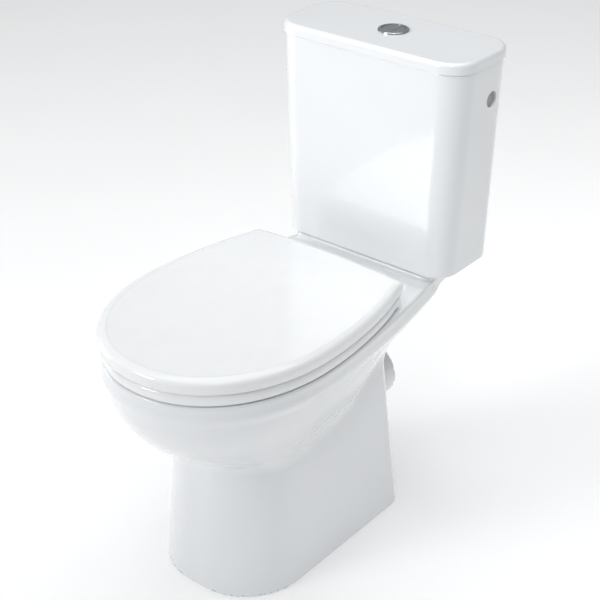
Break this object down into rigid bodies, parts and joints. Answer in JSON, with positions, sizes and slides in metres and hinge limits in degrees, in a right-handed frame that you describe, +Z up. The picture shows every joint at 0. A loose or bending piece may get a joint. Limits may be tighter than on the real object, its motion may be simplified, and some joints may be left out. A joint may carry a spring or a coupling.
{
  "type": "close coupled toilet",
  "caption": "Close-coupled toilet: china pan with straight rear outlet, cistern on its platform, dual flush button, hinged seat and cover.",
  "frame": {"origin": "on the floor, midway between the two floor screw holes in the foot", "axes": "+Z up, +Y toward the wall, +X to the right of a viewer who faces the toilet"},
  "size_m": [0.387, 0.674, 0.778],
  "materials": {
    "vitreous_china": "glossy white glaze",
    "seat_plastic": "polished white thermoset",
    "chrome": "bright chrome plate",
    "valve_plastic": "moulded satin",
    "grey_plastic": "moulded satin, blue-grey",
    "rubber": "moulded black",
    "steel": "zinc plated",
    "brass": "turned"
  },
  "bodies": {
    "base": {"pan": "vitreous_china", "cistern_tank": "vitreous_china", "flush_valve_body": "valve_plastic", "flush_valve_backnut": "valve_plastic", "doughnut_washer": "rubber", "coupling_bolts": "steel", "coupling_rubber_washers": "rubber", "coupling_steel_washers": "steel", "coupling_wing_nuts": "steel", "fill_valve_body": "valve_plastic", "fill_valve_drop_tube": "valve_plastic", "fill_valve_washer": "rubber", "fill_valve_backnut": "valve_plastic", "side_hole_plug": "grey_plastic", "float_arm_pin": "brass", "hinge_posts": "seat_plastic", "hinge_pins": "steel", "hinge_bolts": "steel", "hinge_washers": "rubber", "hinge_wing_nuts": "valve_plastic"},
    "cistern_lid": {"cistern_lid": "vitreous_china", "button_bezel": "chrome", "button_nut": "valve_plastic", "full_button_spring": "steel", "half_button_spring": "steel"},
    "full_button": {"full_flush_button": "chrome", "full_push_rod": "valve_plastic"},
    "half_button": {"half_flush_button": "chrome", "half_push_rod": "valve_plastic"},
    "valve_lift": {"flush_valve_lift": "grey_plastic", "flush_valve_seal": "rubber"},
    "half_slider": {"half_flush_slider": "grey_plastic"},
    "float_lever": {"float_arm": "grey_plastic", "float_cup": "valve_plastic"},
    "seat_ring": {"seat_ring": "seat_plastic", "ring_buffers": "rubber"},
    "seat_cover": {"seat_cover": "seat_plastic", "cover_buffers": "rubber"}
  },
  "joints": [
    {"name": "ring_hinge", "type": "hinge", "parent": "base", "child": "seat_ring", "pos_m": [0, 0.014, 0.418], "axis": [-1, 0, 0], "range_deg": [0, 92]},
    {"name": "cover_hinge", "type": "hinge", "parent": "seat_ring", "child": "seat_cover", "pos_m": [0, 0.014, 0.418], "axis": [1, 0, 0], "range_deg": [-92, 0]},
    {"name": "lid_lift", "type": "slide", "parent": "base", "child": "cistern_lid", "axis": [0, 0, 1], "range_m": [0, 0.15]},
    {"name": "full_flush_press", "type": "slide", "parent": "cistern_lid", "child": "full_button", "axis": [0, 0, -1], "range_m": [0, 0.005], "stiffness_N_per_m": 600, "springref_m": -0.003, "deforming": ["full_button_spring"]},
    {"name": "half_flush_press", "type": "slide", "parent": "cistern_lid", "child": "half_button", "axis": [0, 0, -1], "range_m": [0, 0.005], "stiffness_N_per_m": 600, "springref_m": -0.003, "deforming": ["half_button_spring"]},
    {"name": "valve_lift_slide", "type": "slide", "parent": "base", "child": "valve_lift", "axis": [0, 0, 1], "range_m": [0, 0.012]},
    {"name": "half_slider_slide", "type": "slide", "parent": "base", "child": "half_slider", "axis": [0, 0, -1], "range_m": [0, 0.005]},
    {"name": "float_hinge", "type": "hinge", "parent": "base", "child": "float_lever", "pos_m": [-0.112, 0.1616, 0.712], "axis": [0, 1, 0], "range_deg": [0, 18]}
  ],
  "couplings": [
    {"joint": "valve_lift_slide", "follows": "full_flush_press", "ratio": 2.4},
    {"joint": "half_slider_slide", "follows": "half_flush_press", "ratio": 1}
  ]
}
